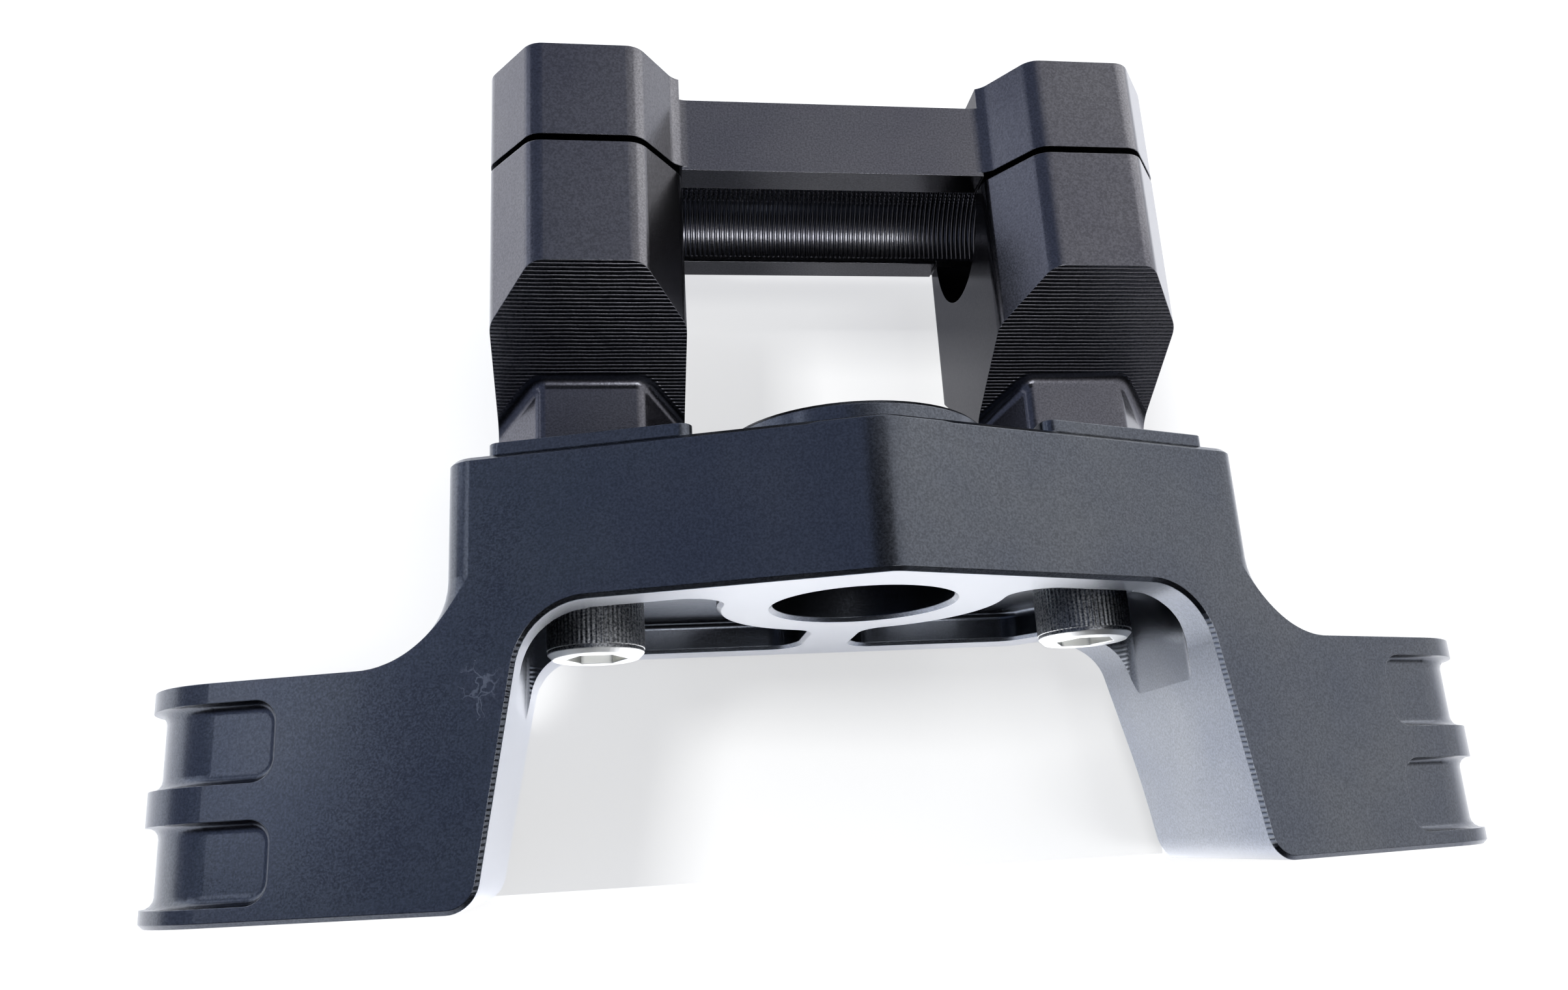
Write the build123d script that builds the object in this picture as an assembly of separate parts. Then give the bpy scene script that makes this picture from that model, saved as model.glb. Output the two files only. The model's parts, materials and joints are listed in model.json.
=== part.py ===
from build123d import *
import math
import os

# Top triple clamp of an off-road motorcycle, with its two handlebar risers and the one-piece
# cap over the handlebar. The yoke, the risers and the cap are milled from aluminium billet.
#
# X points to the rider's right, Y to the front of the bike and Z up along the steering axis.
# The origin is on the steering axis, at the underside of the centre plate. The rider looks at
# the V-shaped face, which has its ridge on the steering axis.

# Steering stem
stem_bore = 30.5
stem_boss_radius = 22.75
stem_boss_height = 3.5

# Fork legs, and the split clamps round them
fork_spacing = 180.0           # between the axes of the two legs
fork_offset = 30.0             # the legs stand this far in front of the steering axis
fork_bore = 41.0
fork_wall = 6.5
clamp_height = 36.5
clamp_corner_radius = 18.0     # the outer corner towards the rider, seen from above
slit_width = 2.5
ear_thickness = 12.0           # one ear, from the middle of the slit to its screw's seat
ear_front = 7.5                # from the pinch screws' axes to the front of the ears
ear_corner_radius = 3.0

# Centre plate
plate_thickness = 24.5
plate_front = 52.5             # from the steering axis to the plate's front face
plate_front_half_width = 43.0
plate_front_corner_radius = 5.0
ridge_depth = 26.4             # from the steering axis back to the ridge of the V face
ridge_radius = 5.0
face_slope = 0.30              # the V face goes this far forward for each millimetre outwards
block_side_gap = 2.5           # between the plate's side and the bore for the leg
block_side_length = 32.3       # from the rider's side corner to where the side turns inwards
block_corner_radius = 5.0
block_turn_radius = 5.0

# Shoulder, where the plate steps down to the clamps, and the arch between the clamps
shoulder_drop = 8.3            # top of the clamps under the plate's underside
shoulder_radius = 13.5
web_radius = 3.0
leg_wall_top = 14.8            # between the arch and the bore, at the plate
leg_wall_bottom = 7.6          # and at the lower end
arch_radius = 11.0
toe_radius = 5.0
edge_break = 0.7

# Two shallow pockets round the outer corner of each clamp
pocket_depth = 2.0
pocket_start = 24.0            # from the clamp's outer side inwards, on the rider's face
pocket_run_past = 15.0         # from the leg's axis forwards, on the outer side
pocket_corner_radius = 3.5
pocket_floor_radius = 1.8
land_above = 3.2
land_between = 5.5
land_below = 2.8

# Two lightening pockets under the plate, one on each side of the steering stem
well_floor = 6.0               # above the plate's underside
well_rim = 8.0
well_front_rim = 8.0
well_side_gap = 4.2            # beside the riser screw's head
well_stem_radius = 24.5
well_rib = 10.4                # between the two pockets, in front of the stem
well_corner_radius = 5.5
well_floor_radius = 1.5

# Handlebar seat
bar_diameter = 28.6
bar_forward = 16.0             # in front of the steering axis
bar_height = 78.7              # above the plate's underside
riser_spacing = 88.9
pad_width = 32.0
pad_height = 2.0
pad_set_back = 0.5
pad_corner_radius = 2.0

# Risers: eight-sided in plan, with a narrower foot under slanting faces
riser_half_width = 16.65
riser_facet_half_width = 9.05
riser_corner_depth = 10.3
riser_edge_radius = 4.0
riser_end_wall = 2.1           # in front of and behind the cap screws' heads
riser_face_height = 22.1       # flat front and rear faces, down from the split
riser_slant = 0.68             # the slanting faces drop this far for each millimetre inwards
foot_half_depth = 10.0
foot_facet_half_width = 9.0
foot_side_width = 2.0
foot_edge_radius = 2.5
foot_cove_radius = 3.0         # where the slanting faces meet the foot

# Cap
cap_wall = 4.0                 # over the handlebar
split_gap = 1.25               # between the risers and the cap when tightened
riser_below_axis = 0.6         # top of the risers under the handlebar's axis
bridge_wall = 5.9              # between the handlebar and the front and rear of the bridge
bridge_face_drop = 4.1         # top of the bridge's front and rear faces under the cap's top
bridge_top_drop = 0.6          # top of the bridge under the top of the cap's ends
bridge_slope_width = 8.0
bridge_blend_radius = 4.0

# Screws, all with socket heads
riser_screw = 11.1
riser_screw_gap = 14.4         # between its end and the handlebar
riser_head_diameter = 16.7
riser_head_height = 11.1
riser_hex = 9.5
cap_screw = 8.0
cap_screw_length = 30.0
cap_screw_wall = 2.2           # between the handlebar and a cap screw
cap_head_recess = 8.5
pinch_screw = 8.0
pinch_screw_length = 25.0
pinch_hole_wall = 2.5          # between the bore and the pinch screw's hole
small_head_diameter = 13.0
small_head_height = 8.0
small_hex = 6.0
thread_clearance = 0.1         # on the radius, between a screw and its threaded hole
shank_clearance = 0.4          # on the radius, between a screw and a plain hole
head_clearance = 0.4           # on the radius, round a sunk head
hole_spare_depth = 3.0         # beyond the end of a screw
screw_edge_share = 0.08        # chamfer of a screw's head, as a share of its height
screw_socket_share = 0.5       # depth of the hexagon socket in the head's height

# Places that follow from these sizes
fork_x = fork_spacing / 2
ring_radius = fork_bore / 2 + fork_wall
side_x = fork_x + ring_radius
block_x = fork_x - fork_bore / 2 - block_side_gap
shoulder_z = -shoulder_drop
clamp_bottom = shoulder_z - clamp_height
pad_top = plate_thickness + pad_height
riser_x = riser_spacing / 2
riser_top = bar_height - riser_below_axis
cap_bottom = riser_top + split_gap
cap_top = bar_height + bar_diameter / 2 + cap_wall
cap_screw_y = bar_diameter / 2 + cap_screw_wall + cap_screw / 2
riser_half_depth = cap_screw_y + small_head_diameter / 2 + head_clearance + riser_end_wall
bridge_half_depth = bar_diameter / 2 + bridge_wall
riser_screw_length = bar_height - bar_diameter / 2 - riser_screw_gap - well_floor
pinch_y = fork_offset + fork_bore / 2 + pinch_hole_wall + pinch_screw / 2
ear_reach = pinch_y + ear_front - fork_offset
pocket_height = (clamp_height - land_above - land_between - land_below) / 2
pocket_z = [shoulder_z - land_above - pocket_height / 2, clamp_bottom + land_below + pocket_height / 2]
far = 2 * (side_x + ear_reach + fork_offset)


def face_y(x, inset=0.0):
    # the V face at a distance from the middle plane, or a line that far inside it
    return -ridge_depth + face_slope * abs(x) + inset * math.hypot(1, face_slope)


def rounded(corners):
    # a face whose corners are given as (x, y, radius)
    points = [(x, y) for x, y, _ in corners]
    radii = [radius for _, _, radius in corners]
    return make_face(FilletPolyline(*points, radius=radii, close=True))


def both_sides(corners):
    # the same corners with their mirror images, for an outline that starts on the middle plane
    return corners + [(-x, y, radius) for x, y, radius in reversed(corners) if x > 0]


def upright(face, low, high):
    # the face pushed up from one height to another
    return extrude(Pos(0, 0, low) * face, amount=high - low, dir=(0, 0, 1))


def with_mirror(shape):
    return shape + mirror(shape, about=Plane.YZ)


def nearest(vertices, x, y):
    return vertices.sort_by_distance((x, y, 0))[0]


def plate_outline():
    return rounded(both_sides([
        (0, -ridge_depth, ridge_radius),
        (block_x, face_y(block_x), block_corner_radius),
        (block_x, face_y(block_x) + block_side_length, block_turn_radius),
        (plate_front_half_width, plate_front, plate_front_corner_radius),
    ]))


def full_outline():
    # the yoke seen from above: the plate, the rings round the legs and the ears
    side_turn = face_y(block_x) + block_side_length
    outline = rounded(both_sides([
        (0, -ridge_depth, ridge_radius),
        (side_x, face_y(side_x), clamp_corner_radius),
        (side_x, fork_offset, 0),
        (block_x, side_turn, 0),
        (plate_front_half_width, plate_front, plate_front_corner_radius),
    ]))
    for x in (-fork_x, fork_x):
        ears = Rectangle(2 * ear_thickness, ear_reach, align=(Align.CENTER, Align.MIN))
        outline += Pos(x, fork_offset) * (Circle(ring_radius) + ears)
    ring_top = fork_offset + math.sqrt(ring_radius ** 2 - ear_thickness ** 2)
    for side in (-1, 1):
        for ear in (-ear_thickness, ear_thickness):
            x = side * fork_x + ear
            for y in (ring_top, fork_offset + ear_reach):
                outline = fillet(nearest(outline.vertices(), x, y), ear_corner_radius)
        web = nearest(outline.vertices(), side * (fork_x - ring_radius), fork_offset)
        outline = fillet(web, web_radius)
    return outline


def shoulder_section():
    # section of the concave blend, with the plate's side at x = 0 and the shoulder at y = 0
    corner = Rectangle(shoulder_radius + web_radius, shoulder_radius, align=Align.MIN)
    return Pos(-web_radius, 0) * corner - Pos(shoulder_radius, shoulder_radius) * Circle(shoulder_radius)


def blend_along(start, end):
    # the blend along a straight stretch of the plate's side, which lies to the left of it
    run = Vector(*end) - Vector(*start)
    plane = Plane(origin=(*start, shoulder_z), x_dir=Vector(run.Y, -run.X, 0), z_dir=-run)
    return extrude(plane * shoulder_section(), amount=-run.length)


def blend_round(centre, radius, first_angle, last_angle):
    # the blend round an outward corner of the plate, between two directions in degrees
    reach = Rectangle(radius + shoulder_radius, shoulder_radius, align=(Align.MIN, Align.MIN))
    section = (Pos(radius, 0) * shoulder_section()) & reach
    ring = revolve(Plane.XZ * section, Axis.Z, last_angle - first_angle)
    return Pos(*centre, shoulder_z) * Rot(0, 0, first_angle) * ring


def fillet_run(radius, turn):
    # how far a rounded corner reaches along its two sides, for a turn in degrees
    return radius * math.tan(math.radians(turn) / 2)


def shoulders():
    # the blend follows the plate's side: its rider's side corner, the side, the turn and the slant
    corner_y = face_y(block_x)
    turn_y = corner_y + block_side_length
    start_y = corner_y + fillet_run(block_corner_radius, 90 - math.degrees(math.atan(face_slope)))
    slant = 90 - math.degrees(math.atan2(plate_front - turn_y, block_x - plate_front_half_width))
    end_y = turn_y - fillet_run(block_turn_radius, slant)
    turn_centre = Vector(block_x - block_turn_radius, end_y)
    slant_start = turn_centre + Vector(block_turn_radius, 0).rotate(Axis.Z, slant)
    right = blend_round((block_x - block_corner_radius, start_y), block_corner_radius, -90, 0)
    right += blend_along((block_x, start_y), (block_x, end_y))
    right += blend_round((turn_centre.X, turn_centre.Y), block_turn_radius, 0, slant)
    right += blend_along((slant_start.X, slant_start.Y), (plate_front_half_width, plate_front))
    return with_mirror(right) & upright(full_outline(), shoulder_z, shoulder_z + shoulder_radius)


def arch():
    # opening between the clamps, seen along Y
    arch_x = fork_x - fork_bore / 2 - leg_wall_top
    toe_x = fork_x - fork_bore / 2 - leg_wall_bottom
    below = clamp_bottom - toe_radius
    outline = rounded([
        (arch_x, 0, arch_radius),
        (toe_x, clamp_bottom, 0),
        (toe_x, below, 0),
        (-toe_x, below, 0),
        (-toe_x, clamp_bottom, 0),
        (-arch_x, 0, arch_radius),
    ])
    return extrude(Plane.XZ * outline, amount=far, both=True)


def billet():
    # the yoke's outer form, with its edges broken where a hand would meet them
    body = upright(full_outline(), clamp_bottom, shoulder_z)
    body += upright(plate_outline(), shoulder_z, plate_thickness)
    body += shoulders()
    body -= arch()
    toe_x = fork_x - fork_bore / 2 - leg_wall_bottom
    toes = body.edges().filter_by(Axis.Y).filter_by(lambda edge: abs(edge.center().X) < toe_x + 1)
    body = fillet(toes.group_by(Axis.Z)[0], toe_radius)
    body = chamfer(arch_edges(body, toe_x + toe_radius), edge_break)
    return chamfer(body.edges().group_by(Axis.Z)[-1], edge_break)


def arch_edges(body, half_width):
    # the edges that the arch leaves in the rider's face
    def in_arch(face):
        middle = face.center()
        return abs(face.normal_at().Y) < 0.001 and abs(middle.X) < half_width and middle.Z < 0.001

    def on_rider_side(edge):
        return edge.position_at(0.5).Y < face_y(half_width) and abs(edge.tangent_at(0.5).Y) < 0.99

    return body.faces().filter_by(in_arch).edges().filter_by(on_rider_side)


def pad():
    left = riser_x - pad_width / 2
    right = riser_x + pad_width / 2
    outline = rounded([
        (left, face_y(left, pad_set_back), pad_corner_radius),
        (right, face_y(right, pad_set_back), pad_corner_radius),
        (right, plate_front, 0),
        (left, plate_front, 0),
    ])
    return upright(outline & plate_outline(), plate_thickness, pad_top)


def stem_boss():
    boss = upright(Circle(stem_boss_radius), plate_thickness - edge_break, plate_thickness + stem_boss_height)
    return chamfer(boss.edges().group_by(Axis.Z)[-1], edge_break)


def well():
    # lightening pocket, milled from below beside the steering stem
    outer = riser_x + riser_head_diameter / 2 + well_side_gap
    rib = well_rib / 2
    front = plate_front - well_front_rim
    slope = (plate_front - face_y(block_x) - block_side_length) / (block_x - plate_front_half_width)
    slant_inset = well_front_rim * math.hypot(1, slope)
    outline = rounded([
        (rib, face_y(rib, well_rim), 0),
        (outer, face_y(outer, well_rim), well_corner_radius),
        (outer, plate_front - slope * (outer - plate_front_half_width) - slant_inset, well_corner_radius),
        (plate_front_half_width + (well_front_rim - slant_inset) / slope, front, well_corner_radius),
        (rib, front, well_corner_radius),
    ])
    outline -= Circle(well_stem_radius)
    outline = outline.faces().sort_by(SortBy.AREA)[-1]
    tips = outline.vertices().filter_by(lambda tip: abs(Vector(tip).length - well_stem_radius) < 0.001)
    outline = fillet(tips, well_corner_radius)
    pocket = upright(outline, clamp_bottom, well_floor)
    pocket = fillet(pocket.edges().group_by(Axis.Z)[-1], well_floor_radius)
    mouth = extrude(offset(outline, edge_break), amount=edge_break, taper=45)
    return pocket + (mouth & flat_underside(edge_break))


def flat_underside(height):
    # room over the part of the plate's underside between the roundings of the arch
    arch_x = fork_x - fork_bore / 2 - leg_wall_top
    side_angle = math.degrees(math.atan2(clamp_height + shoulder_drop, leg_wall_top - leg_wall_bottom))
    half_width = arch_x - fillet_run(arch_radius, side_angle)
    return upright(Rectangle(2 * half_width, far), 0, height)


def front_edge():
    # what is ground away along the plate's lower front edge
    kept = extrude(offset(plate_outline(), -edge_break), amount=edge_break, taper=-45)
    front_half = Rectangle(far, far, align=(Align.CENTER, Align.MIN))
    return (flat_underside(edge_break) & upright(front_half, 0, edge_break)) - kept


def corner_pocket(z):
    # shallow pocket round the clamp's outer corner, cut square to the face all the way round
    start = side_x - pocket_start
    low = z - pocket_height / 2
    high = z + pocket_height / 2
    end = fork_offset + pocket_run_past
    seen_from_behind = rounded([
        (start, low, pocket_corner_radius),
        (far, low, 0),
        (far, high, 0),
        (start, high, pocket_corner_radius),
    ])
    seen_from_side = rounded([
        (-far, low, 0),
        (end, low, pocket_corner_radius),
        (end, high, pocket_corner_radius),
        (-far, high, 0),
    ])
    inner_x = side_x - pocket_depth
    core = rounded([
        (fork_x, face_y(fork_x, pocket_depth), 0),
        (inner_x, face_y(inner_x, pocket_depth), clamp_corner_radius - pocket_depth),
        (inner_x, fork_offset, 0),
        (fork_x, fork_offset, 0),
    ])
    core += Pos(fork_x, fork_offset) * Circle(ring_radius - pocket_depth)
    band = extrude(Plane.XZ * seen_from_behind, amount=far, both=True)
    band &= extrude(Plane.YZ * seen_from_side, amount=2 * side_x)
    core = upright(core, low - 1, high + 1)
    cutter = band - core
    return fillet(new_edges(band, core, combined=cutter), pocket_floor_radius)


def along_x(radius, start, end, y, z):
    # a round hole along X
    return Plane(origin=(start, y, z), z_dir=(1, 0, 0)) * extrude(Circle(radius), amount=end - start)


def clamp_cuts():
    # everything cut in the right clamp: the bore, the slit, the screws' holes and the two pockets
    cuts = upright(Pos(fork_x, fork_offset) * Circle(fork_bore / 2), clamp_bottom, plate_thickness)
    mouth = Cone(fork_bore / 2 + edge_break, fork_bore / 2, edge_break, align=(Align.CENTER, Align.CENTER, Align.MIN))
    cuts += Pos(fork_x, fork_offset, clamp_bottom) * mouth
    slit = Pos(fork_x, fork_offset) * Rectangle(slit_width, far, align=(Align.CENTER, Align.MIN))
    cuts += upright(slit, clamp_bottom, plate_thickness)
    for z in pocket_z:
        seat = fork_x + ear_thickness
        cuts += along_x(pinch_screw / 2 + thread_clearance, fork_x - 2 * ear_thickness, fork_x, pinch_y, z)
        cuts += along_x(pinch_screw / 2 + shank_clearance, fork_x, seat, pinch_y, z)
        cuts += along_x(small_head_diameter / 2 + head_clearance, seat, side_x + 1, pinch_y, z)
        cuts += corner_pocket(z)
    return cuts


def yoke():
    body = billet() + stem_boss() + with_mirror(pad())
    body -= with_mirror(well()) + front_edge()
    body -= with_mirror(clamp_cuts())
    hole = upright(Circle(riser_screw / 2 + shank_clearance), 0, pad_top)
    body -= with_mirror(Pos(riser_x, bar_forward) * hole)
    top = plate_thickness + stem_boss_height
    body -= upright(Circle(stem_bore / 2), 0, top)
    mouth = Cone(stem_bore / 2 + edge_break, stem_bore / 2, edge_break, align=(Align.CENTER, Align.CENTER, Align.MIN))
    body -= mouth + Pos(0, 0, top) * Rot(180, 0, 0) * mouth
    return body


def riser_outline():
    corner_y = riser_half_depth - riser_corner_depth
    quarter = [
        (riser_facet_half_width, -riser_half_depth, riser_edge_radius),
        (riser_half_width, -corner_y, riser_edge_radius),
        (riser_half_width, corner_y, riser_edge_radius),
        (riser_facet_half_width, riser_half_depth, riser_edge_radius),
    ]
    return rounded(both_sides(quarter))


def foot_outline():
    half = [
        (foot_facet_half_width, -foot_half_depth, foot_edge_radius),
        (riser_half_width, -foot_side_width / 2, 0),
        (riser_half_width, foot_side_width / 2, 0),
        (foot_facet_half_width, foot_half_depth, foot_edge_radius),
    ]
    return rounded(both_sides(half))


def riser():
    # stands on the middle of its own foot
    height = riser_top - pad_top
    lip = height - riser_face_height
    valley = lip - riser_slant * riser_half_depth
    side_view = Polyline(
        (0, valley), (riser_half_depth, lip), (riser_half_depth, height),
        (-riser_half_depth, height), (-riser_half_depth, lip), close=True)
    head = extrude(Plane.YZ * make_face(side_view), amount=2 * riser_half_width, both=True)
    head &= upright(riser_outline(), 0, height)
    foot = upright(foot_outline(), 0, lip)
    body = head + foot
    body = fillet(new_edges(head, foot, combined=body), foot_cove_radius)
    bar_z = bar_height - pad_top
    body -= along_x(bar_diameter / 2, -far, far, 0, bar_z)
    screw_end = riser_screw_length + well_floor - pad_top
    body -= upright(Circle(riser_screw / 2 + thread_clearance), 0, screw_end + hole_spare_depth)
    cap_screw_end = cap_top - cap_head_recess - cap_screw_length - pad_top
    hole = upright(Circle(cap_screw / 2 + thread_clearance), cap_screw_end - hole_spare_depth, height)
    for y in (-cap_screw_y, cap_screw_y):
        body -= Pos(0, y) * hole
    return body


def cap_outline():
    # the two ends have the risers' outline, and the bridge runs into their inner corners
    corner_y = riser_half_depth - riser_corner_depth
    cut_back = (riser_half_depth - bridge_half_depth) / riser_corner_depth
    meeting = riser_facet_half_width + (riser_half_width - riser_facet_half_width) * min(cut_back, 1.0)
    half = [
        (riser_x - meeting, -bridge_half_depth, bridge_blend_radius),
        (riser_x - riser_facet_half_width, -riser_half_depth, riser_edge_radius),
        (riser_x + riser_facet_half_width, -riser_half_depth, riser_edge_radius),
        (riser_x + riser_half_width, -corner_y, riser_edge_radius),
        (riser_x + riser_half_width, corner_y, riser_edge_radius),
        (riser_x + riser_facet_half_width, riser_half_depth, riser_edge_radius),
        (riser_x - riser_facet_half_width, riser_half_depth, riser_edge_radius),
        (riser_x - meeting, bridge_half_depth, bridge_blend_radius),
    ]
    return rounded(both_sides(half))


def bar_cap():
    outline = cap_outline()
    inner_x = riser_x - riser_half_width
    body = upright(outline, cap_bottom, cap_top)
    body += upright(Rectangle(2 * inner_x, 2 * bridge_half_depth), bar_height, cap_bottom)
    face_top = cap_top - bridge_face_drop
    crown = cap_top - bridge_top_drop
    slope_end = bridge_half_depth - bridge_slope_width
    above_bridge = Polyline(
        (-far, face_top), (-bridge_half_depth, face_top), (-slope_end, crown), (slope_end, crown),
        (bridge_half_depth, face_top), (far, face_top), (far, far), (-far, far), close=True)
    body -= extrude(Plane.YZ * make_face(above_bridge), amount=inner_x, both=True)
    body -= along_x(bar_diameter / 2, -far, far, 0, bar_height)
    for x in (-riser_x, riser_x):
        for y in (-cap_screw_y, cap_screw_y):
            body -= upright(Pos(x, y) * Circle(cap_screw / 2 + shank_clearance), cap_bottom, cap_top)
            recess = Pos(x, y) * Circle(small_head_diameter / 2 + head_clearance)
            body -= upright(recess, cap_top - cap_head_recess, cap_top)
    return Pos(0, bar_forward) * body


def socket_screw(diameter, length, head_diameter, head_height, hex_width):
    # the head sits under the origin and the shank stands up from it
    head = upright(Circle(head_diameter / 2), -head_height, 0)
    head = chamfer(head.edges().group_by(Axis.Z)[0], head_height * screw_edge_share)
    shank = upright(Circle(diameter / 2), 0, length)
    socket_depth = head_height * screw_socket_share
    socket = RegularPolygon(hex_width / 2, 6, major_radius=False)
    return head + shank - upright(socket, -head_height, socket_depth - head_height)


def assembly():
    nodes = {"yoke": yoke(), "bar_cap": bar_cap()}
    large = socket_screw(riser_screw, riser_screw_length, riser_head_diameter, riser_head_height, riser_hex)
    cap_screw_body = socket_screw(cap_screw, cap_screw_length, small_head_diameter, small_head_height, small_hex)
    pinch_screw_body = socket_screw(
        pinch_screw, pinch_screw_length, small_head_diameter, small_head_height, small_hex)
    for name, side in (("left", -1), ("right", 1)):
        nodes[f"riser_{name}"] = Pos(side * riser_x, bar_forward, pad_top) * riser()
        nodes[f"riser_screw_{name}"] = Pos(side * riser_x, bar_forward, well_floor) * large
        for place, y in (("rear", -cap_screw_y), ("front", cap_screw_y)):
            seat = Pos(side * riser_x, bar_forward + y, cap_top - cap_head_recess)
            nodes[f"cap_screw_{name}_{place}"] = seat * Rot(180, 0, 0) * cap_screw_body
        for place, z in zip(("upper", "lower"), pocket_z):
            seat = Pos(side * (fork_x + ear_thickness), pinch_y, z)
            nodes[f"pinch_screw_{name}_{place}"] = seat * Rot(0, -90 * side, 0) * pinch_screw_body
    return nodes


os.makedirs("parts", exist_ok=True)
for node, shape in assembly().items():
    shape.label = node
    export_step(shape, f"parts/{node}.step")
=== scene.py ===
import json
import math
import bpy
from mathutils import Matrix, Vector


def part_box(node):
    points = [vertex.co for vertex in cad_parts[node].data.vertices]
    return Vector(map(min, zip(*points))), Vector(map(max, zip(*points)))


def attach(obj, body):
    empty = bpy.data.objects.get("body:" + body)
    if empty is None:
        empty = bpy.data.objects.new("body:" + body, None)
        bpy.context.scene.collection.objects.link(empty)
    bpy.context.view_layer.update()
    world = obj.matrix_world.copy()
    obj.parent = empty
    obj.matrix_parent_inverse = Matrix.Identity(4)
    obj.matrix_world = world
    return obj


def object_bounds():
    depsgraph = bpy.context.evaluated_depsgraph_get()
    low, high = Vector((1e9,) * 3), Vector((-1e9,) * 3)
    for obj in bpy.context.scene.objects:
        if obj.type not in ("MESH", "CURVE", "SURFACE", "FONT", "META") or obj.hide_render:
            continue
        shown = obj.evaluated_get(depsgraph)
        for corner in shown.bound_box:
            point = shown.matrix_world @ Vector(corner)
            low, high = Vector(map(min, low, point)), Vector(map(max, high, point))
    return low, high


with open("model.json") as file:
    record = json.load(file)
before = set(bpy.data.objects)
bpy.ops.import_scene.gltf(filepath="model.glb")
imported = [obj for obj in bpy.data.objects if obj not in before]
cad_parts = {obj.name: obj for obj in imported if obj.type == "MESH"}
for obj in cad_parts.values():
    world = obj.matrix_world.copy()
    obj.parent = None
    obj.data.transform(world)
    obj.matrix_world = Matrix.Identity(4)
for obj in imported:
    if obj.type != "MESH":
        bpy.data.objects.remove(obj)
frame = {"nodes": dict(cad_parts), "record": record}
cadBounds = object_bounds()

mm = 0.001
mounts = {m["name"]: m for m in frame["record"]["mounts"]}
print("frame loaded, size in mm", [round(v / mm, 1) for v in cadBounds[1] - cadBounds[0]])


def linear(hexColour):
    # sRGB hex to the linear colour that a shader works in
    parts = [int(hexColour[i:i + 2], 16) / 255 for i in (1, 3, 5)]
    lightness = [c / 12.92 if c <= 0.04045 else ((c + 0.055) / 1.055) ** 2.4 for c in parts]
    return (*lightness, 1.0)


def node(tree, kind, values=(), **settings):
    # adds a node with its settings; values go to its inputs, in order or by name, and a node
    # among them is linked by its first output
    made = tree.nodes.new(kind if "Node" in kind else "ShaderNode" + kind)
    for name, value in settings.items():
        setattr(made, name, value)
    sockets = [s for s in made.inputs if s.enabled]
    for key, value in values.items() if isinstance(values, dict) else enumerate(values):
        socket = sockets[key] if isinstance(key, int) else made.inputs[key]
        if isinstance(value, bpy.types.Node):
            value = next(s for s in value.outputs if s.enabled)
        if isinstance(value, bpy.types.NodeSocket):
            tree.links.new(value, socket)
        else:
            socket.default_value = value
    return made


def newMaterial(name):
    material = bpy.data.materials.new(name)
    material.use_nodes = True
    material.node_tree.nodes.clear()
    return material, material.node_tree


anodisedLook = {
    "yokeColour": ("#50545c", "#585b60"),       # darker and paler patches of the dye
    "clampColour": ("#535359", "#5b5b5f"),
    "wornColour": "#c6cace",
    "yokeRoughness": 0.25,
    "clampRoughness": 0.22,
    "roughnessSpread": (-0.05, 0.03),   # from the smoothest to the roughest grain
    "grain": 0.35 * mm,         # etched grain, drawn coarser than the real one so that it shows
    "grainHeight": 0.007 * mm,
    "speckle": (0.80, 1.20),    # how much darker and paler the grain makes the dye
    "millLine": (0.9 * mm, 14.0 * mm),  # faint marks of the face mill, across and along them
    "millHeight": 0.0012 * mm,
    "patch": 22.0 * mm,
    "patchLevels": (0.35, 0.70),        # noise levels from one colour to the other
    "speckleLevels": (0.35, 0.65),
    "edgeRadius": 0.22 * mm,    # broken edges that the CAD model leaves sharp
    "edgeTurn": (0.985, 0.80),  # cosine of the edge's turn, where the wear starts and is full
    "rub": 1.6 * mm,
    "rubLevels": (0.42, 0.62),
    "wear": (0.05, 0.28),       # share of bare metal where an edge is least and most rubbed
}


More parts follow.
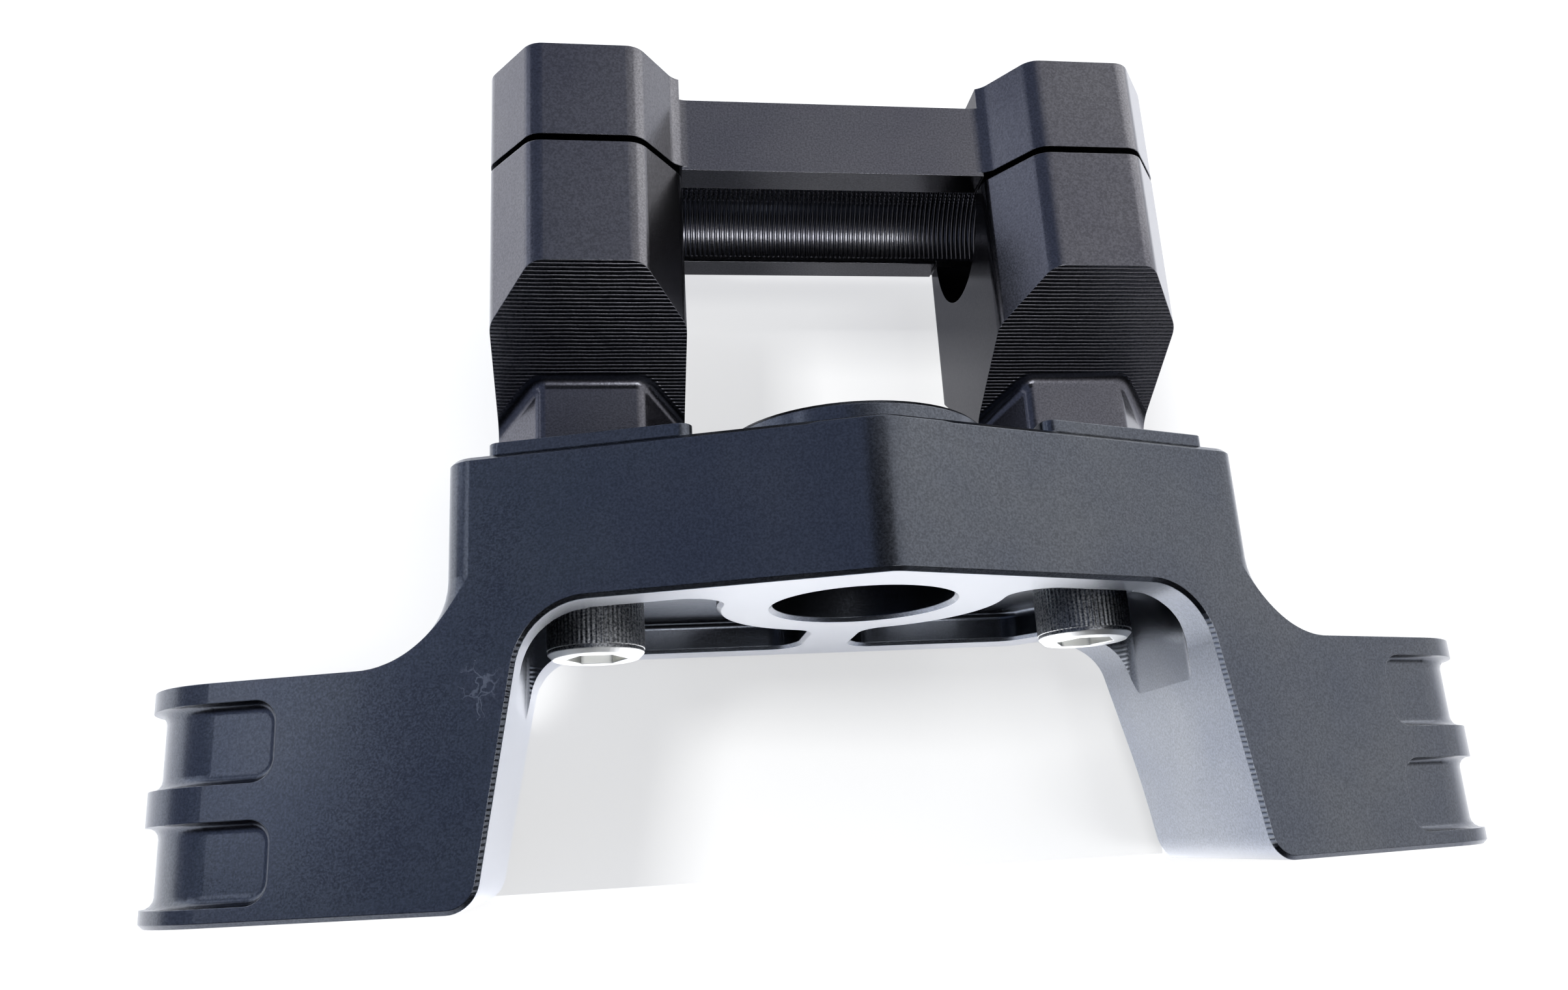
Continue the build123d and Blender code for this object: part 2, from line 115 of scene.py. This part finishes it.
def anodisedAluminium(name, colours, roughness, marks):
    # Black anodised billet aluminium: a dyed oxide skin on milled metal, dark and satin, that
    # mirrors its surroundings softly and more so at low angles. The edges are rubbed paler.
    material, tree = newMaterial(name)
    look = anodisedLook
    place = node(tree, "TexCoord").outputs["Object"]
    normal = node(tree, "NewGeometry").outputs["Normal"]
    across, along = look["millLine"]
    stretch = (across / along, across / along, 1.0)
    stretched = node(tree, "Mapping", {"Vector": place, "Scale": stretch})
    mill = node(tree, "TexNoise", {"Vector": stretched, "Scale": 1 / across, "Detail": 3.0})
    grain = node(tree, "TexNoise", {"Vector": place, "Scale": 1 / look["grain"], "Detail": 2.0})
    patch = node(tree, "TexNoise", {"Vector": place, "Scale": 1 / look["patch"], "Detail": 3.0})
    rub = node(tree, "TexNoise", {"Vector": place, "Scale": 1 / look["rub"], "Detail": 4.0})
    softened = node(tree, "Bevel", {"Radius": look["edgeRadius"]}, samples=6)
    facing = node(tree, "VectorMath", [softened, normal], operation="DOT_PRODUCT").outputs["Value"]
    rubbed = node(tree, "MapRange", [rub, *look["rubLevels"], *look["wear"]])
    worn = node(tree, "MapRange", [facing, *look["edgeTurn"], 0.0, rubbed])
    height = node(tree, "Math", [mill, look["millHeight"], 0.0], operation="MULTIPLY_ADD")
    height = node(tree, "Math", [grain, look["grainHeight"], height], operation="MULTIPLY_ADD")
    low, high = look["roughnessSpread"]
    rough = node(tree, "Math", [grain, high - low, roughness + low], operation="MULTIPLY_ADD")
    surface = {"height": height, "worn": worn, "rough": rough, "normal": softened}
    marks(tree, place, normal, surface)
    patched = node(tree, "MapRange", [patch, *look["patchLevels"]])
    dye = node(tree, "Mix", [patched, *map(linear, colours)], data_type="RGBA")
    speckle = node(tree, "MapRange", [grain, *look["speckleLevels"], *look["speckle"]])
    dye = node(tree, "Mix", [1.0, dye, speckle], data_type="RGBA", blend_type="MULTIPLY")
    colour = node(tree, "Mix", [surface["worn"], dye, linear(look["wornColour"])],
                  data_type="RGBA")
    bump = node(tree, "Bump", {
        "Strength": 1.0, "Distance": 1.0, "Height": surface["height"],
        "Normal": surface["normal"]})
    shader = node(tree, "BsdfPrincipled", {
        "Base Color": colour, "Metallic": 1.0, "Roughness": surface["rough"], "Normal": bump})
    node(tree, "OutputMaterial", [shader])
    return material


slantLook = {
    "pitch": 0.41 * mm,         # upward step between two passes of the cutter
    "height": 0.15 * mm,
    "extraRoughness": 0.08,
    "waver": 5.0 * mm,
    "lean": ((-0.74, -0.80), (-0.92, -0.87)),   # Z of the normals between which a face slants
}


def slantMarks(tree, place, normal, surface):
    # cusps between the cutter's passes, only where a face leans like the risers' lower ones
    lean = node(tree, "SeparateXYZ", [normal]).outputs["Z"]
    slanting = 1.0
    for start, end in slantLook["lean"]:
        slanting = node(tree, "MapRange", [lean, start, end, 0.0, slanting])
    waver = node(tree, "TexNoise", {"Vector": place, "Scale": 1 / slantLook["waver"]})
    z = node(tree, "SeparateXYZ", [place]).outputs["Z"]
    turn = node(tree, "Math", [z, math.pi / slantLook["pitch"], waver], operation="MULTIPLY_ADD")
    cusp = node(tree, "Math", [node(tree, "Math", [turn], operation="SINE")], operation="ABSOLUTE")
    deep = node(tree, "Math", [slanting, slantLook["height"]], operation="MULTIPLY")
    surface["height"] = node(tree, "Math", [cusp, deep, surface["height"]],
                             operation="MULTIPLY_ADD")
    surface["rough"] = node(tree, "Math", [slanting, slantLook["extraRoughness"], surface["rough"]],
                            operation="MULTIPLY_ADD")


yokeLook = {
    "faceSlope": 0.30,          # the rider's face falls back this far for each millimetre outwards
    "ridgeRadius": 14.6 * mm,
    "ridgeBehind": (-22.9 * mm, -23.1 * mm),    # only the middle of the face, and not its top edge
    "ridgeUpright": (-0.35, -0.15),
    "ridgeBelow": (24.3 * mm, 24.0 * mm),
    "chatterPitch": 0.85 * mm,  # marks that the cutter left down the arch's broken edge
    "chatterHeight": 0.05 * mm,
    "chatterWaver": (4 * mm, 6.0),      # the marks drift over this length, by up to this angle
    "chatterInside": (80 * mm, 78 * mm),
    "chatterTurned": (0.40, 0.55),      # X of the normals, between the face and the arch's side
    "chatterShort": (0.97, 0.90),
    "chatterRearward": (-0.35, -0.5),
    "chatterBelow": (-4 * mm, -7 * mm),
    "bareCrests": (-0.9, 0.3, 0.4, 1.0),        # from trough to crest, and how bare each is
    "bareRoughness": 0.45,
    "scuffs": (((-61.4, -7.9, -11.6), 4.2), ((-61.6, -7.9, -15.0), 2.4)),   # place, reach in mm
    "scuffCore": 0.4,           # share of the reach in which a scuff is full
    "scuffWear": 0.20,
    "scuffRoughness": 0.5,
    "scuffCell": 3.448 * mm,    # between two hairlines
    "scuffLine": (0.055, 0.01),         # half of a hairline's width, as a share of a cell
    "scuffWaver": 3.846 * mm,
    "scuffBend": 6 * mm,
}


def yokeMarks(tree, place, normal, surface):
    look = yokeLook
    places = node(tree, "SeparateXYZ", [place]).outputs
    normals = node(tree, "SeparateXYZ", [normal]).outputs
    # the ridge of the rider's face is blended wider than its two flats show
    slope = math.atan(look["faceSlope"])
    limit = math.sin(slope)
    halfWidth = look["ridgeRadius"] * limit
    turned = node(tree, "MapRange", [places["X"], -halfWidth, halfWidth, -limit, limit])
    blended = node(tree, "CombineXYZ", [turned, -math.cos(slope)])
    onRidge = 1.0
    for looked, limits in ((places["Y"], "ridgeBehind"), (normals["Z"], "ridgeUpright"),
                           (places["Z"], "ridgeBelow")):
        onRidge = node(tree, "MapRange", [looked, *look[limits], 0.0, onRidge])
    surface["normal"] = node(tree, "Mix", [onRidge, surface["normal"], blended],
                             data_type="VECTOR")
    # chatter down the arch's broken edge
    sideways = node(tree, "Math", [normals["X"]], operation="ABSOLUTE")
    fromMiddle = node(tree, "Math", [places["X"]], operation="ABSOLUTE")
    onEdge = 1.0
    for looked, limits in ((fromMiddle, "chatterInside"), (sideways, "chatterTurned"),
                           (sideways, "chatterShort"), (normals["Y"], "chatterRearward"),
                           (places["Z"], "chatterBelow")):
        onEdge = node(tree, "MapRange", [looked, *look[limits], 0.0, onEdge])
    size, drift = look["chatterWaver"]
    waver = node(tree, "TexNoise", {"Vector": place, "Scale": 1 / size})
    phase = node(tree, "Math", [waver, drift], operation="MULTIPLY")
    turn = node(tree, "Math", [places["Z"], 2 * math.pi / look["chatterPitch"], phase],
                operation="MULTIPLY_ADD")
    sine = node(tree, "Math", [turn], operation="SINE")
    wave = node(tree, "Math", [sine, look["chatterHeight"]], operation="MULTIPLY")
    surface["height"] = node(tree, "Math", [wave, onEdge, surface["height"]],
                             operation="MULTIPLY_ADD")
    # on the right the broken edge is cut through to bare metal
    onRight = node(tree, "MapRange", [places["X"], 0.0, 1 * mm, 0.0, onEdge])
    bare = node(tree, "MapRange", [sine, *look["bareCrests"]])
    bare = node(tree, "Math", [bare, onRight], operation="MULTIPLY")
    surface["worn"] = node(tree, "Math", [surface["worn"], bare], operation="MAXIMUM")
    surface["rough"] = node(tree, "Math", [bare, look["bareRoughness"], surface["rough"]],
                            operation="MULTIPLY_ADD")
    # crossing hairlines inside the scuffed spots
    bent = node(tree, "TexNoise", {
        "Vector": place, "Scale": 1 / look["scuffWaver"], "Detail": 4.0}).outputs["Color"]
    where = node(tree, "VectorMath", [bent, [look["scuffBend"]] * 3, place],
                 operation="MULTIPLY_ADD")
    line = node(tree, "TexVoronoi", {"Vector": where, "Scale": 1 / look["scuffCell"]},
                feature="DISTANCE_TO_EDGE")
    scuffed = 0.0
    for centre, reach in look["scuffs"]:
        away = node(tree, "VectorMath", [place, tuple(v * mm for v in centre)],
                    operation="DISTANCE").outputs["Value"]
        inside = node(tree, "MapRange", [
            away, reach * mm, look["scuffCore"] * reach * mm, 0.0, look["scuffWear"]])
        scuffed = node(tree, "Math", [scuffed, inside], operation="MAXIMUM")
    scuffed = node(tree, "MapRange", [line, *look["scuffLine"], 0.0, scuffed])
    surface["worn"] = node(tree, "Math", [surface["worn"], scuffed], operation="MAXIMUM")
    surface["rough"] = node(tree, "Math", [scuffed, look["scuffRoughness"], surface["rough"]],
                            operation="MULTIPLY_ADD")


yokeSkin = anodisedAluminium(
    "black_anodised_yoke", anodisedLook["yokeColour"], anodisedLook["yokeRoughness"], yokeMarks)
clampSkin = anodisedAluminium(
    "black_anodised_bar_clamp", anodisedLook["clampColour"], anodisedLook["clampRoughness"],
    slantMarks)

steelLook = {
    "speck": 0.35 * mm,
    "speckLevels": (0.38, 0.62),
    "roughnessSpread": (-0.08, 0.14),
    "edgeTurn": (0.98, 0.75),
    "edgeWear": 0.6,
    "endTurn": (-0.35, -0.75),  # Z of the normals, from a head's side to its bare end face
    "socketEdge": 1.1,          # the bare metal fades out this far past the socket's corners
}
riserSteelLook = {
    "sideColours": ("#56585c", "#9c9ea0"),
    "bareColour": "#e4e4e0",
    "roughness": 0.30,
    "speckHeight": 0.012 * mm,
    "edgeRadius": 0.35 * mm,
    "socketRadius": 5.2 * mm,
}
smallSteelLook = {
    "sideColours": ("#38393c", "#47484b"),
    "bareColour": "#77797c",
    "roughness": 0.34,
    "speckHeight": 0.006 * mm,
    "edgeRadius": 0.25 * mm,
}
headLow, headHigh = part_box("riser_screw_right")
riserScrewAxis = ((headLow.x + headHigh.x) / 2, (headLow.y + headHigh.y) / 2, 0.0)


def screwSteel(name, look):
    # Alloy steel screws: a thin dark coat that looks speckled round a knurled head. On the large
    # heads the key and the ground have rubbed the end face and the socket to bright metal.
    material, tree = newMaterial(name)
    place = node(tree, "TexCoord").outputs["Object"]
    normal = node(tree, "NewGeometry").outputs["Normal"]
    speck = node(tree, "TexNoise", {
        "Vector": place, "Scale": 1 / steelLook["speck"], "Detail": 4.0})
    softened = node(tree, "Bevel", {"Radius": look["edgeRadius"]}, samples=6)
    facing = node(tree, "VectorMath", [softened, normal], operation="DOT_PRODUCT").outputs["Value"]
    bright = node(tree, "MapRange", [facing, *steelLook["edgeTurn"], 0.0, steelLook["edgeWear"]])
    if "socketRadius" in look:
        down = node(tree, "SeparateXYZ", [softened]).outputs["Z"]
        endFace = node(tree, "MapRange", [down, *steelLook["endTurn"], 0.0, 1.0])
        mirrored = node(tree, "VectorMath", [place], operation="ABSOLUTE")
        fromAxis = node(tree, "VectorMath", [mirrored, riserScrewAxis], operation="SUBTRACT")
        flat = node(tree, "VectorMath", [fromAxis, (1.0, 1.0, 0.0)], operation="MULTIPLY")
        away = node(tree, "VectorMath", [flat], operation="LENGTH").outputs["Value"]
        socket = node(tree, "MapRange", [
            away, look["socketRadius"] * steelLook["socketEdge"], look["socketRadius"], 0.0, 1.0])
        for bare in (endFace, socket):
            bright = node(tree, "Math", [bright, bare], operation="MAXIMUM")
    mottled = node(tree, "MapRange", [speck, *steelLook["speckLevels"]])
    coat = node(tree, "Mix", [mottled, *map(linear, look["sideColours"])], data_type="RGBA")
    colour = node(tree, "Mix", [bright, coat, linear(look["bareColour"])], data_type="RGBA")
    height = node(tree, "Math", [speck, look["speckHeight"]], operation="MULTIPLY")
    bump = node(tree, "Bump", {
        "Strength": 1.0, "Distance": 1.0, "Height": height, "Normal": softened})
    low, high = steelLook["roughnessSpread"]
    rough = node(tree, "Math", [speck, high - low, look["roughness"] + low],
                 operation="MULTIPLY_ADD")
    shader = node(tree, "BsdfPrincipled", {
        "Base Color": colour, "Metallic": 1.0, "Roughness": rough, "Normal": bump})
    node(tree, "OutputMaterial", [shader])
    return material


riserScrewSteel = screwSteel("worn_riser_screw_steel", riserSteelLook)
smallScrewSteel = screwSteel("black_oxide_steel", smallSteelLook)

skins = {
    "anodised_yoke": yokeSkin,
    "anodised_bar_clamp": clampSkin,
    "riser_screw_steel": riserScrewSteel,
    "small_screw_steel": smallScrewSteel,
}
for part in frame["record"]["subparts"]:
    mesh = frame["nodes"][part["node"]].data
    mesh.materials.clear()
    mesh.materials.append(skins[part["material_slot"]])


def newTree(name, sizes):
    # a Geometry Nodes tree with one named input for each size
    tree = bpy.data.node_groups.new(name, "GeometryNodeTree")
    tree.interface.new_socket("Geometry", in_out="INPUT", socket_type="NodeSocketGeometry")
    kinds = {float: "NodeSocketFloat", int: "NodeSocketInt",
             bpy.types.Material: "NodeSocketMaterial"}
    for label, value in sizes.items():
        kind = next(k for t, k in kinds.items() if isinstance(value, t))
        tree.interface.new_socket(label, in_out="INPUT", socket_type=kind)
    tree.interface.new_socket("Geometry", in_out="OUTPUT", socket_type="NodeSocketGeometry")
    return tree, node(tree, "NodeGroupInput").outputs, node(tree, "NodeGroupOutput")


def grown(name, tree, sizes, place):
    # runs the tree, and leaves its result as a plain mesh in its place on the part
    host = bpy.data.objects.new(name + "_host", bpy.data.meshes.new(name))
    bpy.context.scene.collection.objects.link(host)
    modifier = host.modifiers.new("grow", "NODES")
    modifier.node_group = tree
    for item in tree.interface.items_tree:
        if item.in_out == "INPUT" and item.name in sizes:
            modifier[item.identifier] = sizes[item.name]
    bpy.context.view_layer.update()
    evaluated = host.evaluated_get(bpy.context.evaluated_depsgraph_get())
    mesh = bpy.data.meshes.new_from_object(evaluated)
    mesh.name = name
    mesh.transform(place)
    bpy.data.objects.remove(host)
    piece = bpy.data.objects.new(name, mesh)
    bpy.context.scene.collection.objects.link(piece)
    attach(piece, "root")


gripRibs = {
    "pitch": 1.0 * mm,          # turned ridges in the cap's half of the handlebar's seat
    "sectionRadius": 0.45 * mm,
    "sunk": 0.25 * mm,          # how far the middle of a ridge lies in the wall of the seat
    "fromSplit": 5.0,           # degrees left free at each edge of the half bore
    "endMargin": 1.4 * mm,
}


def ribRow(sizes):
    tree, given, out = newTree("rib_row", sizes)
    arc = node(tree, "GeometryNodeCurveArc", {
        "Resolution": 40, "Radius": given["Radius"], "Start Angle": given["Start Angle"],
        "Sweep Angle": given["Sweep"]}, mode="RADIUS")
    section = node(tree, "GeometryNodeCurvePrimitiveCircle", {
        "Resolution": 6, "Radius": given["Section Radius"]})
    rib = node(tree, "GeometryNodeCurveToMesh", {
        "Curve": arc, "Profile Curve": section, "Fill Caps": True})
    step = node(tree, "CombineXYZ", {"Z": given["Pitch"]})
    line = node(tree, "GeometryNodeMeshLine", {"Count": given["Count"], "Offset": step})
    copies = node(tree, "GeometryNodeInstanceOnPoints", {"Points": line, "Instance": rib})
    real = node(tree, "GeometryNodeRealizeInstances", {"Geometry": copies})
    coloured = node(tree, "GeometryNodeSetMaterial", {
        "Geometry": real, "Material": given["Material"]})
    tree.links.new(coloured.outputs["Geometry"], out.inputs["Geometry"])
    return tree


seat = mounts["bar_seat"]
ribCount = int((seat["dims"]["length_mm"] * mm - 2 * gripRibs["endMargin"]) / gripRibs["pitch"])
ribSizes = {
    "Radius": seat["dims"]["r_mm"] * mm + gripRibs["sunk"],
    "Section Radius": gripRibs["sectionRadius"],
    "Pitch": gripRibs["pitch"],
    "Count": ribCount,
    "Start Angle": math.radians(gripRibs["fromSplit"]),
    "Sweep": math.radians(180 - 2 * gripRibs["fromSplit"]),
    "Material": clampSkin,
}
firstRib = Vector(seat["pos_m"]) - Vector(((ribCount - 1) * gripRibs["pitch"] / 2, 0, 0))
zTurnedToX = Matrix(((0, 0, 1, 0), (1, 0, 0, 0), (0, 1, 0, 0), (0, 0, 0, 1)))
grown("bar_seat_ribs", ribRow(ribSizes), ribSizes, Matrix.Translation(firstRib) @ zTurnedToX)
print("seat ribs", ribCount)

knurl = {
    "ridges": 64,
    "relief": 0.11 * mm,
    "endMargin": 1.5 * mm,      # plain ring left at each end of the head
    "headHeight": 11.1 * mm,
}


def ridgeRing(sizes):
    tree, given, out = newTree("ridge_ring", sizes)
    corners = node(tree, "Math", [given["Ridges"], 2.0], operation="MULTIPLY")
    circle = node(tree, "GeometryNodeCurvePrimitiveCircle", {
        "Resolution": corners, "Radius": given["Radius"]})
    odd = node(tree, "Math", [node(tree, "GeometryNodeInputIndex"), 2.0], operation="MODULO")
    push = node(tree, "Math", [odd, given["Relief"]], operation="MULTIPLY")
    outward = node(tree, "VectorMath", [node(tree, "GeometryNodeInputPosition")],
                   operation="NORMALIZE")
    offset = node(tree, "VectorMath", {0: outward, "Scale": push}, operation="SCALE")
    star = node(tree, "GeometryNodeSetPosition", {"Geometry": circle, "Offset": offset})
    top = node(tree, "CombineXYZ", {"Z": given["Length"]})
    rail = node(tree, "GeometryNodeCurvePrimitiveLine", {"End": top})
    sleeve = node(tree, "GeometryNodeCurveToMesh", {
        "Curve": rail, "Profile Curve": star, "Fill Caps": True})
    faceted = node(tree, "GeometryNodeSetShadeSmooth", {"Geometry": sleeve, "Shade Smooth": False})
    real = node(tree, "GeometryNodeRealizeInstances", {"Geometry": faceted})
    coloured = node(tree, "GeometryNodeSetMaterial", {
        "Geometry": real, "Material": given["Material"]})
    tree.links.new(coloured.outputs["Geometry"], out.inputs["Geometry"])
    return tree


ridgeSizes = {
    "Radius": (headHigh.x - headLow.x) / 2,
    "Relief": knurl["relief"],
    "Ridges": knurl["ridges"],
    "Length": knurl["headHeight"] - 2 * knurl["endMargin"],
    "Material": riserScrewSteel,
}
ridgeTree = ridgeRing(ridgeSizes)
for side in ("left", "right"):
    low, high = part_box("riser_screw_" + side)
    foot = Vector(((low.x + high.x) / 2, (low.y + high.y) / 2, low.z + knurl["endMargin"]))
    grown("riser_screw_knurl_" + side, ridgeTree, ridgeSizes, Matrix.Translation(foot))
print("knurled heads made")


stage = {
    "paper": "#f4f4f2",
    "size": 3.0,
    "backGap": 1.0 * mm,        # between the clamps' ears and the white sheet behind them
    "floorVeil": (0.75, 1.25),          # share and strength of plain white over the lit paper
    "backVeil": (0.42, 1.20),
    "paintedReflectionLevel": (3.3, 0.6),          # painted reflection: how bright the lit sheet shows in the metal, low and high, above the white it is
    "paintedReflectionFade": (0.0, 0.035),
    "paintedReflectionSides": (0.06, 0.10, 1.3),   # and beside the part: from, to, level of the painted reflection
}


def flatSheet(name, corners, material):
    mesh = bpy.data.meshes.new(name)
    mesh.from_pydata(corners, [], [(0, 1, 2, 3)])
    mesh.materials.append(material)
    sheet = bpy.data.objects.new(name, mesh)
    bpy.context.scene.collection.objects.link(sheet)
    return sheet


def paperMaterial(name, isBack):
    # Matt white paper. The camera sees plain white laid over it, so that only soft shadows stay.
    # The back sheet also paints a reflection brighter than paper into the metal.
    material, tree = newMaterial(name)
    path = node(tree, "LightPath").outputs
    paper = node(tree, "BsdfDiffuse", {"Color": linear(stage["paper"])})
    share, strength = stage["backVeil"] if isBack else stage["floorVeil"]
    glow = node(tree, "Emission", {"Color": (1, 1, 1, 1), "Strength": strength})
    surface = node(tree, "MixShader", [share, paper, glow])
    if isBack:
        # it shows to the camera and in the metal from its front only, and lets other light through
        geometry = node(tree, "NewGeometry").outputs
        # painted reflection: in the metal the sheet is a diffuse white brighter than white,
        # strongest low behind the part and fainter above and to the sides
        spot = node(tree, "SeparateXYZ", [geometry["Position"]]).outputs
        level = node(tree, "MapRange", [spot["Z"], *stage["paintedReflectionFade"], *stage["paintedReflectionLevel"]])
        aside = node(tree, "Math", [spot["X"]], operation="ABSOLUTE")
        start, end, paintedSideLevel = stage["paintedReflectionSides"]
        level = node(tree, "MapRange", [aside, start, end, level, paintedSideLevel])
        mirrored = node(tree, "BsdfDiffuse", {"Color": level})
        inMetal = node(tree, "Math", [path["Is Glossy Ray"], path["Is Transmission Ray"]],
                       operation="MAXIMUM")
        surface = node(tree, "MixShader", [inMetal, surface, mirrored])
        seen = node(tree, "Math", [path["Is Camera Ray"], inMetal], operation="MAXIMUM")
        shown = node(tree, "Math", [seen, geometry["Backfacing"]], operation="GREATER_THAN")
        surface = node(tree, "MixShader", [shown, node(tree, "BsdfTransparent"), surface])
    node(tree, "OutputMaterial", [surface])
    return material


size = stage["size"]
floorZ = cadBounds[0].z
floor = flatSheet("floor", [
    (-size, -size, floorZ), (size, -size, floorZ), (size, size, floorZ), (-size, size, floorZ)],
    paperMaterial("floor_paper", False))
floor.visible_glossy = floor.visible_diffuse = floor.visible_shadow = False
backY = cadBounds[1].y + stage["backGap"]
flatSheet("back_sheet", [
    (-size, backY, -size), (size, backY, -size), (size, backY, size), (-size, backY, size)],
    paperMaterial("back_sheet_paper_and_painted_reflection", True))

# painted reflection: a dark sheet that only the metal mirrors; the camera doesn't see it and it
# neither lights nor shades anything
darkReflectionCard = {
    "colour": "#1a1c22",
    "y": -0.60,                 # behind the camera, seen only in the metal: a painted dark reflection that keeps the middle of the ridge dark
    "x": (-0.14, 0.15),
    "z": (-0.03, 0.24),
}
darkReflectionMaterial, tree = newMaterial("painted_dark_reflection")
node(tree, "OutputMaterial", [node(tree, "BsdfDiffuse", {"Color": linear(darkReflectionCard["colour"])})])
left, right = darkReflectionCard["x"]
low, high = darkReflectionCard["z"]
reflectionCard = flatSheet("painted_dark_reflection_card", [
    (left, darkReflectionCard["y"], low), (right, darkReflectionCard["y"], low), (right, darkReflectionCard["y"], high),
    (left, darkReflectionCard["y"], high)], darkReflectionMaterial)
reflectionCard.visible_camera = reflectionCard.visible_diffuse = reflectionCard.visible_shadow = False
print("stage set")

room = {
    "left": ((0.31, 0.36, 0.51), 1.0),      # a dim bluish side of the room
    "right": ((1.0, 1.0, 1.03), 1.2),
    "turn": (-0.30, 0.45),                  # from where to where the left side becomes the right
    "low": (-0.60, -0.20),                  # it is dark below: from where to where
    "lowShare": 0.02,
}
world = bpy.data.worlds.new("studio")
bpy.context.scene.world = world
world.use_nodes = True
tree = world.node_tree
tree.nodes.clear()
direction = node(tree, "SeparateXYZ", [node(tree, "TexCoord").outputs["Generated"]]).outputs
rightness = node(tree, "MapRange", [direction["X"], *room["turn"]],
                 interpolation_type="SMOOTHSTEP")
sides = [(*(c * level for c in colour), 1.0) for colour, level in (room["left"], room["right"])]
tone = node(tree, "Mix", [rightness, *sides], data_type="RGBA")
height = node(tree, "MapRange", [direction["Z"], *room["low"], room["lowShare"], 1.0],
              interpolation_type="SMOOTHSTEP")
path = node(tree, "LightPath").outputs
shown = node(tree, "Background", {"Color": (1, 1, 1, 1), "Strength": 1.0})
around = node(tree, "Background", {"Color": tone, "Strength": height})
sky = node(tree, "MixShader", [path["Is Camera Ray"], around, shown])
node(tree, "OutputWorld", [sky])

# towards, distance and size in metres, radiance beside a white of 1, colour, shows in the metal
lamps = {
    "left_softbox": ((-0.97, -0.10, 0.50), 0.80, (0.45, 0.35), 0.9, "#f0f5ff", True),
    "left_strip": ((-0.80, -0.60, 0.17), 0.90, (0.06, 0.45), 2.4, "#f6f9ff", True),
    "right_window": ((0.78, -0.22, 0.60), 0.90, (0.90, 0.34), 1.5, "#fffdf8", True),
    "low_front_lamp": ((0.14, -0.97, -0.22), 0.90, (0.30, 0.13), 11.0, "#ffffff", True),
    "paper_key": ((-0.40, -0.91, 0.10), 1.20, (0.22, 0.22), 55.0, "#ffffff", False),
}
aim = (cadBounds[0] + cadBounds[1]) / 2
for name, (towards, distance, extent, radiance, colour, mirrored) in lamps.items():
    lamp = bpy.data.lights.new(name, "AREA")
    lamp.shape = "RECTANGLE"
    lamp.size, lamp.size_y = extent
    lamp.energy = radiance * math.pi * extent[0] * extent[1]
    lamp.color = linear(colour)[:3]
    holder = bpy.data.objects.new(name, lamp)
    holder.location = aim + Vector(towards).normalized() * distance
    holder.rotation_euler = (holder.location - aim).to_track_quat("Z", "Y").to_euler()
    holder.visible_camera = False
    holder.visible_glossy = mirrored
    bpy.context.scene.collection.objects.link(holder)
print("lamps", len(lamps))

view = {
    "place": (-40.81 * mm, -190.85 * mm, -36.50 * mm),
    "yaw": -8.442,              # degrees: turned, tipped up and leant, as the picture was taken
    "pitch": 15.199,
    "roll": -3.377,
    "focalPixels": 1816.8,
    "imageSize": (2408, 1521),
    "axisRow": 790.6,           # image row that the lens's axis meets
}
camera = bpy.data.cameras.new("photo_camera")
camera.sensor_width = 36.0
camera.lens = view["focalPixels"] * camera.sensor_width / view["imageSize"][0]
camera.shift_y = (view["axisRow"] - view["imageSize"][1] / 2) / view["imageSize"][0]
camera.clip_start = 0.005
holder = bpy.data.objects.new("photo_camera", camera)
holder.matrix_world = (
    Matrix.Translation(view["place"])
    @ Matrix.Rotation(math.radians(view["yaw"]), 4, "Z")
    @ Matrix.Rotation(math.radians(90 + view["pitch"]), 4, "X")
    @ Matrix.Rotation(math.radians(view["roll"]), 4, "Z"))
bpy.context.scene.collection.objects.link(holder)
bpy.context.scene.camera = holder
bpy.context.scene.view_settings.view_transform = "Standard"
print("camera lens", round(camera.lens, 2), "shift", round(camera.shift_y, 4))
